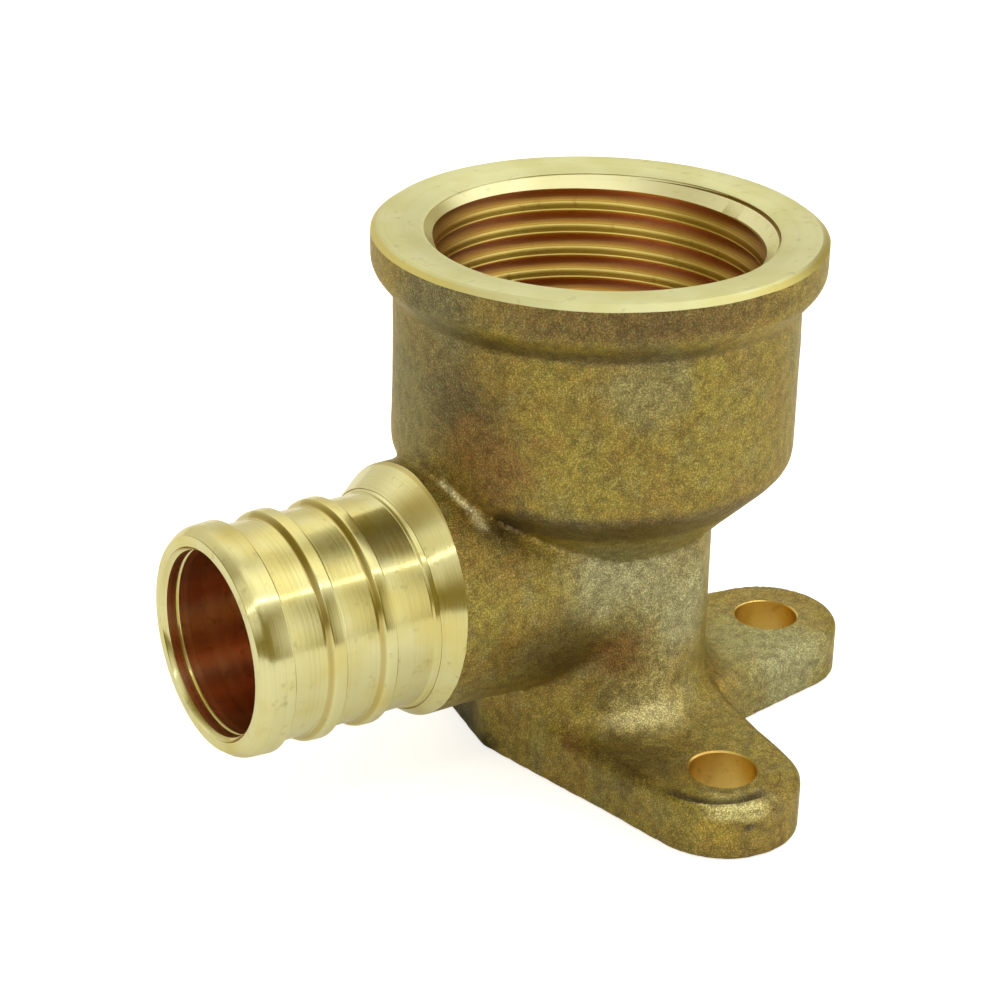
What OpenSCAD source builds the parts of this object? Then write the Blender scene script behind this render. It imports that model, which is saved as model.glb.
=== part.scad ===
// Wall plate elbow: one brass casting with a female pipe thread, a crimp barb at
// right angles to it, and a base plate with three screw ears.
//
// Frame: millimetres, +Z out of the threaded socket. The origin lies on the wall
// face, on the socket's axis. The barb points along -X, and the ears point along
// +X, +Y and -Y. The casting is symmetrical about the XZ plane.

/* [Socket] */
// Height of the socket's rim above the wall face
body_h = 40.5; // [37:0.1:55]
// Outside diameter of the turned rim
rim_d = 33.2; // [32.4:0.1:40]
// Height of the rim's straight side, below its chamfer
rim_side_h = 1.7; // [0.8:0.1:3]
// Width of the bright chamfer round the rim's outer edge
rim_chamfer_w = 0.55; // [0.2:0.05:1]
// Height of the same chamfer
rim_chamfer_h = 0.4; // [0.2:0.05:1]
// Radius where the rim's side turns under
rim_round_r = 2.1; // [1:0.1:3]
// Angle from level of the rim's cast underside
rim_under_angle = 54; // [40:1:60]
// Radius of the inner corner between the rim and the socket wall
rim_fillet_r = 0.45; // [0.2:0.05:1]
// Outside diameter of the cast socket wall
wall_d = 29.9; // [29:0.1:31.5]
// Radius where the socket wall turns into the shoulder
shoulder_round_r = 2.2; // [1:0.1:3]
// Height above the wall face at which the shoulder starts to turn in
shoulder_z = 24.45; // [23.5:0.05:27]
// Angle from level of the shoulder's cone
shoulder_angle = 45; // [40:1:52]
// Radius of the inner corner between the shoulder and the trunk
shoulder_fillet_r = 0.4; // [0.2:0.05:1]

/* [Thread] */
// Minor diameter of the pipe thread, which is the bore's wall
thread_minor_d = 24.1; // [22:0.05:24.6]
// Major diameter, at the bottom of the thread's grooves
thread_major_d = 26.2; // [25:0.1:26.4]
// Distance from one turn of the thread to the next
thread_pitch = 1.814; // [1.3:0.001:2.4]
// Depth of the first whole groove below the rim
thread_first = 2.3; // [2:0.1:3]
// Number of whole turns of the thread
thread_turns = 7; // [4:1:7]
// Depth of the threaded bore below the rim
thread_depth = 16; // [12:0.1:17]
// Diameter of the mouth at the rim's face
mouth_d = 27.2; // [26:0.1:28]
// Diameter of the first step inside the mouth
mouth_step_d = 26.15; // [25:0.05:27]
// Depth of that first step below the rim
mouth_step_h = 0.25; // [0.1:0.05:0.8]

/* [Trunk and waterway] */
// Outside diameter of the trunk below the shoulder
trunk_d = 18.7; // [18.5:0.1:20]
// Diameter of the waterway that runs down the trunk
trunk_bore_d = 14.4; // [13.8:0.1:15]
// Height of the waterway's floor above the wall face
floor_z = 7.9; // [6.5:0.1:8.1]
// Depth of the drill point below that floor
drill_point_h = 1.2; // [0.5:0.1:2]
// Diameter of the drill point's blunt end
drill_point_d = 1; // [0.5:0.1:2]

/* [Barb] */
// Height of the barb's axis above the wall face
barb_axis_z = 14.95; // [14.9:0.05:16]
// Distance of the barb's end from the socket's axis
barb_end = 32.5; // [31.5:0.1:36]
// Diameter of the waterway through the barb
barb_bore_d = 13.6; // [11:0.1:13.6]
// Width of the chamfer at the mouth of that waterway
barb_mouth_chamfer = 0.25; // [0.1:0.05:0.5]
// Diameter over the barb's beads
bead_d = 16.9; // [16.5:0.05:17.5]
// Diameter of the roots between the beads
root_d = 15.86; // [15.4:0.02:16.2]
// Outside diameter of the flat end face
nose_d = 15.7; // [15:0.1:16]
// Length of the rounded nose
nose_l = 1.04; // [0.5:0.02:1.4]
// Length of the end bead, nose included
end_bead_l = 2.47; // [1.8:0.01:3]
// Width of the crest of each inner bead
bead_w = 0.9; // [0.5:0.05:1.2]
// Distance from each bead's back edge to the next one's
bead_pitch = 4.1; // [3.5:0.05:4.4]
// Length of the sloping front of an inner bead
bead_front_l = 0.38; // [0.2:0.02:0.8]
// Length of the steep back of a bead
bead_back_l = 0.15; // [0.05:0.01:0.3]
// Distance of the turned collar's back edge from the socket's axis
collar_back = 16.3; // [15.3:0.05:16.6]
// Length of the collar's cone along the barb
collar_l = 2.15; // [1.8:0.05:2.8]
// Diameter of the collar at its front
collar_front_d = 16.3; // [16.2:0.1:17.6]
// Diameter of the cast neck, which the collar's cone runs out on
neck_d = 18.4; // [18:0.1:18.6]

/* [Base plate] */
// Thickness of the plate and its ears
plate_t = 4.3; // [3.5:0.1:4.8]
// Distance of each screw hole from the socket's axis
ear_reach = 18; // [16.5:0.1:22]
// Radius of an ear's tip
ear_tip_r = 5.7; // [5:0.1:7]
// Radius of the plate's round middle, which the ears' sides run off
plate_mid_r = 8.96; // [8:0.02:9.3]
// Diameter of the screw holes
screw_hole_d = 5.0; // [4:0.1:5.6]
// Distance from the plate's edge to where the hollow round the trunk is cut off
foot_inset = 0.5; // [0.2:0.1:1]
// Radius of the hollow where the trunk and neck meet the plate
foot_fillet_r = 2.6; // [1.4:0.1:3]

/* [Hidden] */
$fn = 96;
// Turning angle covered by one chord of an arc in a turned outline
arc_step = 7.5;
// Overrun of the cuts, and of the pieces that are joined, past their faces
over = 1;
rim_r = rim_d / 2;
wall_r = wall_d / 2;
trunk_r = trunk_d / 2;
neck_r = neck_d / 2;
bead_r = bead_d / 2;
root_r = root_d / 2;
nose_r = nose_d / 2;
thread_r = thread_minor_d / 2;
thread_major_r = thread_major_d / 2;
// Width of a groove where it opens in the bore's wall
groove_w = 0.68 * thread_pitch;
trunk_bore_r = trunk_bore_d / 2;
barb_bore_r = barb_bore_d / 2;
rim_turn_z = body_h - rim_chamfer_h - rim_side_h;
thread_floor_z = body_h - thread_depth;
collar_front = collar_back + collar_l;
ear_angles = [-90, 0, 90];
// How far an ear's sides turn in towards its tip
ear_taper = asin((plate_mid_r - ear_tip_r) / ear_reach);

// Points along an arc about the centre c, from the angle a0 to a1
function arc_points(c, r, a0, a1) =
    let (n = max(2, ceil(abs(a1 - a0) / arc_step)))
    [for (i = [0 : n]) c + r * [cos(a0 + (a1 - a0) * i / n), sin(a0 + (a1 - a0) * i / n)]];

// Outline of an overhang: up the inner wall, round a fillet, out along a cone
// and round the corner on to the outer wall
function overhang_points(r_in, r_out, turn_z, round_r, angle, fillet_r) =
    let (a = angle - 90)
    let (normal = [cos(a), sin(a)])
    let (inward = [sin(a), -cos(a)])
    let (corner = [r_out - round_r, turn_z])
    let (edge = corner + round_r * normal)
    let (run = (r_in + fillet_r - edge.x - fillet_r * normal.x) / inward.x)
    let (hollow = edge + run * inward + fillet_r * normal)
    concat(arc_points(hollow, fillet_r, 180, 180 + a), arc_points(corner, round_r, a, 0));

// Trunk, shoulder, socket wall and rim, turned about the socket's axis
module socket_outside() {
    rotate_extrude()
        polygon(concat(
            [[0, 0], [trunk_r, 0]],
            overhang_points(trunk_r, wall_r, shoulder_z, shoulder_round_r,
                            shoulder_angle, shoulder_fillet_r),
            overhang_points(wall_r, rim_r, rim_turn_z, rim_round_r,
                            rim_under_angle, rim_fillet_r),
            [[rim_r, body_h - rim_chamfer_h], [rim_r - rim_chamfer_w, body_h], [0, body_h]]));
}

// Points of one inner bead, whose back edge lies at the distance s_back
function bead_points(s_back) = [
    [root_r, s_back - bead_back_l],
    [bead_r, s_back],
    [bead_r, s_back + bead_w],
    [root_r, s_back + bead_w + bead_front_l]];

// Neck, collar, beads and nose, turned about the barb's axis
module barb_outside() {
    end_bead_back = barb_end - end_bead_l;
    nose_turn = barb_end - nose_l;
    translate([0, 0, barb_axis_z])
        rotate([0, -90, 0])
            rotate_extrude()
                polygon(concat(
                    [[0, 0], [neck_r, 0], [neck_r, collar_back]],
                    [[collar_front_d / 2, collar_front], [root_r, collar_front + bead_back_l]],
                    bead_points(end_bead_back - 2 * bead_pitch),
                    bead_points(end_bead_back - bead_pitch),
                    [[root_r, end_bead_back - bead_back_l], [bead_r, end_bead_back]],
                    [for (a = [90 : -arc_step * 2 : 0])
                        [nose_r + (bead_r - nose_r) * sin(a), nose_turn + nose_l * cos(a)]],
                    [[0, barb_end]]));
}

// Plan of an ear that points along +X, drawn smaller all round by the inset
module ear_plan(inset) {
    r_mid = plate_mid_r - inset;
    r_tip = ear_tip_r - inset;
    side = [sin(ear_taper), cos(ear_taper)];
    tip = [ear_reach, 0];
    mirrored = [side.x, -side.y];
    circle(r_mid);
    translate(tip)
        circle(r_tip);
    polygon([r_mid * mirrored, tip + r_tip * mirrored, tip + r_tip * side, r_mid * side]);
}

// Plan of the whole plate, drawn smaller all round by the inset
module plate_plan(inset) {
    for (a = ear_angles)
        rotate(a)
            ear_plan(inset);
}

// Hollow where the trunk runs out on to the plate, cut off at the plate's sides
module trunk_foot() {
    r_foot = trunk_r + foot_fillet_r;
    z_foot = plate_t + foot_fillet_r;
    intersection() {
        rotate_extrude()
            polygon(concat(
                [[trunk_r - over, plate_t - over], [r_foot, plate_t - over]],
                arc_points([r_foot, z_foot], foot_fillet_r, 270, 180),
                [[trunk_r - over, z_foot]]));
        linear_extrude(z_foot)
            plate_plan(foot_inset);
    }
}

// Web that fills the gap between the neck and the plate, hollow at both sides
module neck_foot() {
    drop = barb_axis_z - plate_t - foot_fillet_r;
    z_foot = plate_t + foot_fillet_r;
    y_foot = sqrt(pow(neck_r + foot_fillet_r, 2) - pow(drop, 2));
    touch = atan2(drop, y_foot);
    right = arc_points([y_foot, z_foot], foot_fillet_r, 270, 180 - touch);
    left = [for (i = [len(right) - 1 : -1 : 0]) [-right[i].x, right[i].y]];
    intersection() {
        translate([-plate_mid_r, 0, 0])
            rotate([90, 0, 90])
                linear_extrude(plate_mid_r)
                    polygon(concat([[-y_foot, plate_t - over], [y_foot, plate_t - over]], right, left));
        linear_extrude(barb_axis_z)
            plate_plan(0);
    }
}

// Everything that is solid before the waterways and screw holes are cut
module casting() {
    socket_outside();
    barb_outside();
    linear_extrude(plate_t)
        plate_plan(0);
    trunk_foot();
    neck_foot();
}

// Grooves that stand for the turns of the pipe thread
module thread_grooves() {
    for (i = [0 : thread_turns - 1])
        translate([0, 0, body_h - thread_first - i * thread_pitch])
            rotate_extrude()
                polygon([
                    [thread_r - over, -groove_w / 2], [thread_r, -groove_w / 2], [thread_major_r, 0],
                    [thread_r, groove_w / 2], [thread_r - over, groove_w / 2]]);
}

// Threaded bore with its turned mouth, the cone below it and the trunk's waterway
module socket_cut() {
    step_z = body_h - mouth_step_h;
    thread_start_z = step_z - (mouth_step_d / 2 - thread_r);
    cone_floor_z = thread_floor_z - (thread_r - trunk_bore_r);
    translate([0, 0, thread_floor_z])
        cylinder(h = body_h + over - thread_floor_z, r = thread_r);
    translate([0, 0, thread_start_z])
        cylinder(h = step_z - thread_start_z, r1 = thread_r, r2 = mouth_step_d / 2);
    translate([0, 0, step_z])
        cylinder(h = mouth_step_h, r1 = mouth_step_d / 2, r2 = mouth_d / 2);
    translate([0, 0, cone_floor_z])
        cylinder(h = thread_floor_z - cone_floor_z, r1 = trunk_bore_r, r2 = thread_r);
    translate([0, 0, floor_z])
        cylinder(h = thread_floor_z - floor_z, r = trunk_bore_r);
    translate([0, 0, floor_z - drill_point_h])
        cylinder(h = drill_point_h, r1 = drill_point_d / 2, r2 = trunk_bore_r);
}

// Waterway through the barb, with the chamfer at its mouth
module barb_cut() {
    translate([0, 0, barb_axis_z])
        rotate([0, -90, 0]) {
            cylinder(h = barb_end + over, r = barb_bore_r);
            translate([0, 0, barb_end - barb_mouth_chamfer])
                cylinder(h = barb_mouth_chamfer, r1 = barb_bore_r, r2 = barb_bore_r + barb_mouth_chamfer);
        }
}

// The screw holes, one through each ear
module screw_holes() {
    for (a = ear_angles)
        rotate([0, 0, a])
            translate([ear_reach, 0, -over])
                cylinder(h = plate_t + 2 * over, d = screw_hole_d);
}

// The finished fitting, all one piece
module elbow_body() {
    color("darkgoldenrod")
        difference() {
            casting();
            socket_cut();
            thread_grooves();
            barb_cut();
            screw_holes();
        }
}

elbow_body();
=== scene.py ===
import math

import bpy
import numpy as np
from mathutils import Matrix, Vector


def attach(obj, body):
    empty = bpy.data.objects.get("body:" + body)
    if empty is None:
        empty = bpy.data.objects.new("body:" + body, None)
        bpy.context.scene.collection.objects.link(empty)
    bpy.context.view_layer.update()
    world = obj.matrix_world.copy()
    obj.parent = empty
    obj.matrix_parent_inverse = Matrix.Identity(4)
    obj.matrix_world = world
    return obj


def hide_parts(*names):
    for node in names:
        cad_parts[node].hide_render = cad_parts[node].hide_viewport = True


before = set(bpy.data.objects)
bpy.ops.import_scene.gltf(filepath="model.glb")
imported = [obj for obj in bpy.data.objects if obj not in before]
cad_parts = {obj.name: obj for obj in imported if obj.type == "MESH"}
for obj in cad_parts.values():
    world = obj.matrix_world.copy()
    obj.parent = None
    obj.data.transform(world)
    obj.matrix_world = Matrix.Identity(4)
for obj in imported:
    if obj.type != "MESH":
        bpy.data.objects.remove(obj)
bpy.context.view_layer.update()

# All lengths here are in millimetres; meshes are scaled to metres when they are made.
MM = 0.001

# Socket, as in the solids
BODY_H = 40.5
RIM_R = 16.6
WALL_R = 14.95
TRUNK_R = 9.35
THREAD_R = 12.05
THREAD_DEEP_R = 13.05
THREAD_PITCH = 1.814
THREAD_FLOOR = 24.5
CREST_HALF = 0.28
# Height of a crest of the thread at the azimuth 0, and of the lead-in's lower edge
CREST_Z = 37.48
LEAD_Z = 39.2
TRUNK_BORE_R = 7.2
FLOOR_Z = 7.9

# Barb
AXIS_Z = 14.95
BARB_END = 32.5
BARB_BORE_R = 6.8
NECK_R = 9.2
NECK_END_R = 9.32
# The barb's radius between its beads
ROOT_R = 7.93

# Plate
PLATE_T = 4.3
EAR_REACH = 18.0
EAR_TIP_R = 5.7
PLATE_MID_R = 8.96
HOLE_R = 2.5
# The angle by which an ear narrows, and where the two side ears' edges meet under the neck
TAPER = math.asin((PLATE_MID_R - EAR_TIP_R) / EAR_REACH)
CORNER_X = -PLATE_MID_R / math.cos(TAPER)

# The screw seat sunk in the front ear: its centre and radius
SEAT = (-0.6, 0.1 - EAR_REACH, PLATE_T)
SEAT_R = 4.75

# Roundings of the raw casting
FILLET_R = 0.5
NECK_FILLET_R = 0.45
PLATE_FILLET_R = 0.35
HOLLOW_R = 3.2
FOOT_ROUND = 0.35
SIDE_ROUND = 1.25
TIP_ROUND = 0.75
# How high the raw neck sits above the barb's axis, beyond its own length along it
NECK_LIFT = 0.42
# Under the neck, the side towards the barb is one flat face, below this height and beyond this place
FLAT_Z = 6.8
FLAT_X = -4

# Waves and dents that sand and shot leave in the casting: height, cell size and seed
WAVES = [(0.045, 6.0, 11), (0.022, 2.3, 12), (0.012, 0.9, 13)]

# The grid that the casting's surface is found on. y = 0 is the middle of a row of its cells.
CELL = 0.35
GRID_LOW = np.array([-19.4, -71.5 * CELL, -1.3])
GRID_HIGH = np.array([25.0, 25.0, 43.4])

# Cutting tools reach up to this height above the mouth. The fine ones have this many sides.
TOOL_TOP = 44
FINE_SIDES = 224
HOLE_SIDES = 96


# Outlines

def arc(cx, cy, r, a0, a1, step):
    """Points along an arc between two angles, at most step degrees apart."""
    n = max(2, int(math.ceil(abs(a1 - a0) / step)))
    out = []
    for i in range(n + 1):
        a = math.radians(a0 + (a1 - a0) * i / n)
        out.append((cx + r * math.cos(a), cy + r * math.sin(a)))
    return out


def rounded(points, step=12.0):
    """An open outline of (x, y, radius), with each inner corner replaced by an arc of that radius.
    Corners that are nearly straight stay, and an arc takes less than half of a side."""
    nearly_straight = math.radians(178)
    side_share = 0.49
    out = []
    for i, (x, y, r) in enumerate(points):
        if r <= 0 or i == 0 or i == len(points) - 1:
            out.append((x, y))
            continue
        p = np.array([x, y])
        u = np.array(points[i - 1][:2]) - p
        v = np.array(points[i + 1][:2]) - p
        lu, lv = np.linalg.norm(u), np.linalg.norm(v)
        u, v = u / lu, v / lv
        ang = math.acos(max(-1.0, min(1.0, float(u @ v))))
        if ang > nearly_straight:
            out.append((x, y))
            continue
        cut = min(r / math.tan(ang / 2), side_share * lu, side_share * lv)
        r = cut * math.tan(ang / 2)
        mid = (u + v) / np.linalg.norm(u + v)
        c = p + mid * r / math.sin(ang / 2)
        a, b = p + u * cut - c, p + v * cut - c
        t0 = math.atan2(a[1], a[0])
        t1 = math.atan2(b[1], b[0])
        d = (t1 - t0 + math.pi) % (2 * math.pi) - math.pi
        n = max(2, int(math.ceil(abs(math.degrees(d)) / step)))
        for k in range(n + 1):
            t = t0 + d * k / n
            out.append((c[0] + r * math.cos(t), c[1] + r * math.sin(t)))
    return out


def overhang(r_in, r_out, turn_z, round_r, angle, fillet_r):
    """Up an inner wall, round a fillet, out along a cone and round on to the outer wall."""
    a = math.radians(angle - 90)
    nx, nz = math.cos(a), math.sin(a)
    ix, iz = math.sin(a), -math.cos(a)
    cx, cz = r_out - round_r, turn_z
    ex, ez = cx + round_r * nx, cz + round_r * nz
    run = (r_in + fillet_r - ex - fillet_r * nx) / ix
    hx, hz = ex + run * ix + fillet_r * nx, ez + run * iz + fillet_r * nz
    return (arc(hx, hz, fillet_r, 180, 180 + angle - 90, 9)
            + arc(cx, cz, round_r, angle - 90, 0, 5))


# Distance fields

def polygon_distance(x, y, poly):
    """Signed distance to a closed polygon, negative inside."""
    d = np.full(x.shape, 1e9, np.float32)
    inside = np.zeros(x.shape, bool)
    n = len(poly)
    for i in range(n):
        ax, ay = poly[i]
        bx, by = poly[(i + 1) % n]
        ex, ey = bx - ax, by - ay
        ll = ex * ex + ey * ey
        if ll < 1e-12:
            continue
        wx, wy = x - ax, y - ay
        t = np.clip((wx * ex + wy * ey) / ll, 0, 1)
        d = np.minimum(d, (wx - t * ex) ** 2 + (wy - t * ey) ** 2)
        if ay != by:
            cross = ((ay > y) != (by > y)) & (x < (bx - ax) * (y - ay) / (by - ay) + ax)
            inside ^= cross
    d = np.sqrt(d)
    return np.where(inside, -d, d)


class Table:
    """A distance field over (r, s), read back by bilinear interpolation."""

    def __init__(self, poly, r_max, s_min, s_max, step=0.06):
        self.step, self.s_min = step, s_min
        self.nr = int(r_max / step) + 2
        self.ns = int((s_max - s_min) / step) + 2
        r = np.arange(self.nr, dtype=np.float32) * step
        s = s_min + np.arange(self.ns, dtype=np.float32) * step
        rr, ss = np.meshgrid(r, s, indexing="ij")
        self.v = polygon_distance(rr, ss, poly).astype(np.float32)

    def __call__(self, r, s):
        fr = np.clip(r / self.step, 0, self.nr - 1.001)
        fs = np.clip((s - self.s_min) / self.step, 0, self.ns - 1.001)
        i, j = fr.astype(np.int32), fs.astype(np.int32)
        u, w = fr - i, fs - j
        v = self.v
        return ((v[i, j] * (1 - u) + v[i + 1, j] * u) * (1 - w)
                + (v[i, j + 1] * (1 - u) + v[i + 1, j + 1] * u) * w)


def union_round(a, b, r):
    """Union whose inner corner is an arc of radius r."""
    return np.maximum(r, np.minimum(a, b)) - np.hypot(np.maximum(r - a, 0), np.maximum(r - b, 0))


def cut_round(a, b, r):
    """Intersection whose outer edge is an arc of radius r."""
    return np.minimum(-r, np.maximum(a, b)) + np.hypot(np.maximum(r + a, 0), np.maximum(r + b, 0))


def ramp(x, a, b):
    """0 at a and 1 at b, with a smooth rise between them."""
    t = np.clip((x - a) / (b - a), 0, 1)
    return t * t * (3 - 2 * t)


def lattice_noise(p, cell, seed, period=64):
    """Smooth noise between -1 and 1 on a lattice of that cell size, which repeats after period cells."""
    rng = np.random.default_rng(seed)
    q = p / cell
    i = np.floor(q).astype(np.int64)
    f = q - i
    f = f * f * (3 - 2 * f)
    val = rng.uniform(-1, 1, (period, period, period))
    out = 0
    for dx in (0, 1):
        wx = f[..., 0] if dx else 1 - f[..., 0]
        ix = (i[..., 0] + dx) % period
        for dy in (0, 1):
            wy = f[..., 1] if dy else 1 - f[..., 1]
            iy = (i[..., 1] + dy) % period
            for dz in (0, 1):
                wz = f[..., 2] if dz else 1 - f[..., 2]
                iz = (i[..., 2] + dz) % period
                out = out + wx * wy * wz * val[ix, iy, iz]
    return out


# The socket with the trunk under it, from below the wall face to above the mouth
SOCKET = Table(
    [(-6, -3), (TRUNK_R, -3)]
    + overhang(TRUNK_R, WALL_R, turn_z=24.45, round_r=2.2, angle=45, fillet_r=FILLET_R)
    + overhang(WALL_R, RIM_R, turn_z=38.35, round_r=1.8, angle=51, fillet_r=FILLET_R)
    + [(RIM_R, 42), (-6, 42)],
    r_max=22, s_min=-4, s_max=46)

# The neck, which the barb and its collar are turned from. It widens a little towards the collar.
NECK = Table(
    [(-6, -4), (NECK_R, -4), (NECK_R, 10), (NECK_END_R, 15), (NECK_END_R, 18.2), (-6, 18.2)],
    r_max=16, s_min=-12, s_max=24)


def ear_distance(u, v):
    """Signed distance in plan to an ear along +u: the hull of its tip circle and the middle circle."""
    v = np.abs(v)
    st, ct = math.sin(TAPER), math.cos(TAPER)
    k = u * ct - v * st
    side = u * st + v * ct - PLATE_MID_R
    mid = np.hypot(u, v) - PLATE_MID_R
    tip = np.hypot(u - EAR_REACH, v) - EAR_TIP_R
    return np.where(k < 0, mid, np.where(k > EAR_REACH * ct, tip, side))


def plan_distance(x, y):
    """The plate's plan. The sides of the two side ears meet in a corner under the neck."""
    d = ear_distance(x, y)
    d = np.minimum(d, ear_distance(y, -x))
    d = np.minimum(d, ear_distance(-y, x))
    st, ct = math.sin(TAPER), math.cos(TAPER)
    wedge = np.maximum(np.abs(y) * st - x * ct - PLATE_MID_R, np.abs(y) - 2 * PLATE_MID_R * st)
    return np.minimum(d, np.maximum(wedge, x))


def casting(p):
    """Signed distance to the raw casting."""
    x, y, z = p[..., 0], p[..., 1], p[..., 2]
    socket = SOCKET(np.hypot(x, y), z)
    neck = NECK(np.hypot(y, z - AXIS_Z - NECK_LIFT * ramp(-x, 9.5, 14.5)), -x)
    body = union_round(socket, neck, NECK_FILLET_R)
    # The ears' upper edges are rounder along their sides than round their tips
    plan = plan_distance(x, y)
    tip = np.minimum(np.minimum(np.hypot(x - EAR_REACH, y), np.hypot(x, y - EAR_REACH)),
                     np.hypot(x, y + EAR_REACH))
    edge = SIDE_ROUND - (SIDE_ROUND - TIP_ROUND) * ramp(-tip, -7.5, -5.2)
    # The plate's top rises in a hollow where the trunk and the neck run out on it, and the hollow is cut
    # off at the plate's sides
    wall = np.minimum(np.hypot(x, y) - TRUNK_R, NECK(np.hypot(y, z - AXIS_Z), -x)) + PLATE_FILLET_R
    top = union_round(wall, z - PLATE_T, HOLLOW_R)
    low = np.maximum(cut_round(plan, top, edge), z - AXIS_Z)
    d = union_round(body, low, PLATE_FILLET_R)
    under = np.maximum(z - FLAT_Z, x - FLAT_X)
    d = np.where(under < 0, np.maximum(d, np.minimum(plan, neck)), d)
    return cut_round(d, -z, FOOT_ROUND)


def roughened(p):
    """The casting's surface with its waves and dents."""
    d = casting(p)
    for height, cell, seed in WAVES:
        d = d + height * lattice_noise(p, cell, seed)
    return d


# Meshes

def surface_nets(f, lo, h):
    """Closed quad mesh of the surface f = 0 on a regular grid."""
    inside = f < 0
    corners = [(a, b, c) for a in (0, 1) for b in (0, 1) for c in (0, 1)]
    shape = tuple(s - 1 for s in f.shape)
    total = np.zeros(shape, np.int8)
    for a, b, c in corners:
        total += inside[a:a + shape[0], b:b + shape[1], c:c + shape[2]]
    cells = np.argwhere((total > 0) & (total < len(corners)))
    index = np.full(shape, -1, np.int64)
    index[cells[:, 0], cells[:, 1], cells[:, 2]] = np.arange(len(cells))
    val = {k: f[cells[:, 0] + k[0], cells[:, 1] + k[1], cells[:, 2] + k[2]] for k in corners}
    acc = np.zeros((len(cells), 3))
    cnt = np.zeros(len(cells))
    for k in corners:
        for ax in range(3):
            if k[ax]:
                continue
            m = list(k)
            m[ax] = 1
            a, b = val[k], val[tuple(m)]
            hit = (a < 0) != (b < 0)
            t = np.where(hit, a / np.where(hit, a - b, 1), 0)
            pos = np.tile(np.array(k, float), (len(cells), 1))
            pos[:, ax] = t
            acc += np.where(hit[:, None], pos, 0)
            cnt += hit
    verts = lo + h * (cells + acc / cnt[:, None])
    quads = []
    for ax in range(3):
        b, c = (ax + 1) % 3, (ax + 2) % 3
        lead = [slice(None)] * 3
        lead[ax] = slice(0, -1)
        nxt = [slice(None)] * 3
        nxt[ax] = slice(1, None)
        a0, a1 = inside[tuple(lead)], inside[tuple(nxt)]
        for up in (True, False):
            edge = np.argwhere(a0 & ~a1 if up else ~a0 & a1)
            cell = []
            for ob, oc in ((1, 1), (0, 1), (0, 0), (1, 0)):
                e = edge.copy()
                e[:, b] -= ob
                e[:, c] -= oc
                cell.append(index[e[:, 0], e[:, 1], e[:, 2]])
            q = np.stack(cell if up else cell[::-1], axis=1)
            quads.append(q)
    return verts, np.concatenate(quads)


def onto_surface(p, field, turns=3, eps=0.02):
    """Moves points on to the surface where the field is 0, by Newton steps of a limited length."""
    longest_step = 0.15
    least_slope = 0.2
    for _ in range(turns):
        d = field(p)
        g = np.stack([(field(p + eps * np.eye(3)[k]) - field(p - eps * np.eye(3)[k])) / (2 * eps)
                      for k in range(3)], axis=1)
        step = (d / np.maximum((g * g).sum(axis=1), least_slope))[:, None] * g
        length = np.linalg.norm(step, axis=1, keepdims=True)
        p = p - step * np.minimum(1, longest_step / np.maximum(length, 1e-9))
    return p


def mesh_object(name, verts, faces, material=None):
    """A mesh object from points in millimetres; faces is a list of index lists."""
    me = bpy.data.meshes.new(name)
    me.from_pydata((np.asarray(verts) * MM).tolist(), [], [list(map(int, f)) for f in faces])
    me.update()
    ob = bpy.data.objects.new(name, me)
    bpy.context.scene.collection.objects.link(ob)
    if material is not None:
        me.materials.append(material)
    return ob


def turned(name, outline, material, n=192, along_barb=False):
    """A closed solid turned about the socket's axis or the barb's, from an outline of (r, s) that
    starts and ends at r = 0. s is the distance along the axis, and n is the number of sides."""
    pts = [p for i, p in enumerate(outline) if i == 0 or math.dist(p, outline[i - 1]) > 1e-4]
    ring = pts[1:-1]
    verts = []
    for i in range(n):
        a = 2 * math.pi * (i + 0.5) / n
        for r, s in ring:
            verts.append((r * math.cos(a), r * math.sin(a), s))
    m = len(ring)
    first, last = len(verts), len(verts) + 1
    verts += [(0, 0, pts[0][1]), (0, 0, pts[-1][1])]
    faces = []
    for i in range(n):
        k = (i + 1) % n
        for j in range(m - 1):
            faces.append((i * m + j, k * m + j, k * m + j + 1, i * m + j + 1))
        faces.append((first, k * m, i * m))
        faces.append((last, i * m + m - 1, k * m + m - 1))
    v = np.array(verts, float)
    if along_barb:
        v = np.stack([-v[:, 2], v[:, 1], AXIS_Z - v[:, 0]], axis=1)
        faces = [f[::-1] for f in faces]
    return mesh_object(name, v, faces, material)


def fix_normals(ob):
    """Turns the faces outwards, judged by the mesh's volume."""
    me = ob.data
    me.calc_loop_triangles()
    co = np.empty(len(me.vertices) * 3)
    me.vertices.foreach_get("co", co)
    co = co.reshape(-1, 3)
    tri = np.empty(len(me.loop_triangles) * 3, np.int64)
    me.loop_triangles.foreach_get("vertices", tri)
    tri = tri.reshape(-1, 3)
    a, b, c = co[tri[:, 0]], co[tri[:, 1]], co[tri[:, 2]]
    if (np.cross(a, b) * c).sum() < 0:
        me.flip_normals()


def check_closed(ob):
    """Stops the script if an edge of the mesh isn't shared by two faces."""
    me = ob.data
    edges = np.empty(len(me.loops), np.int64)
    me.loops.foreach_get("edge_index", edges)
    count = np.bincount(edges, minlength=len(me.edges))
    if (count != 2).any():
        raise RuntimeError("%s is not closed at %d edges" % (ob.name, int((count != 2).sum())))


def combine(ob, tool, operation):
    """Joins the tool to ob, or cuts ob with it. The tool is used up."""
    fix_normals(tool)
    check_closed(tool)
    mod = ob.modifiers.new("cut", "BOOLEAN")
    mod.operation = operation
    mod.solver = "MANIFOLD"
    mod.material_mode = "TRANSFER"
    mod.object = tool
    dg = bpy.context.evaluated_depsgraph_get()
    dg.update()
    me = bpy.data.meshes.new_from_object(ob.evaluated_get(dg), depsgraph=dg)
    ob.modifiers.remove(mod)
    old = ob.data
    ob.data = me
    bpy.data.meshes.remove(old)
    bpy.data.objects.remove(tool)


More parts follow.
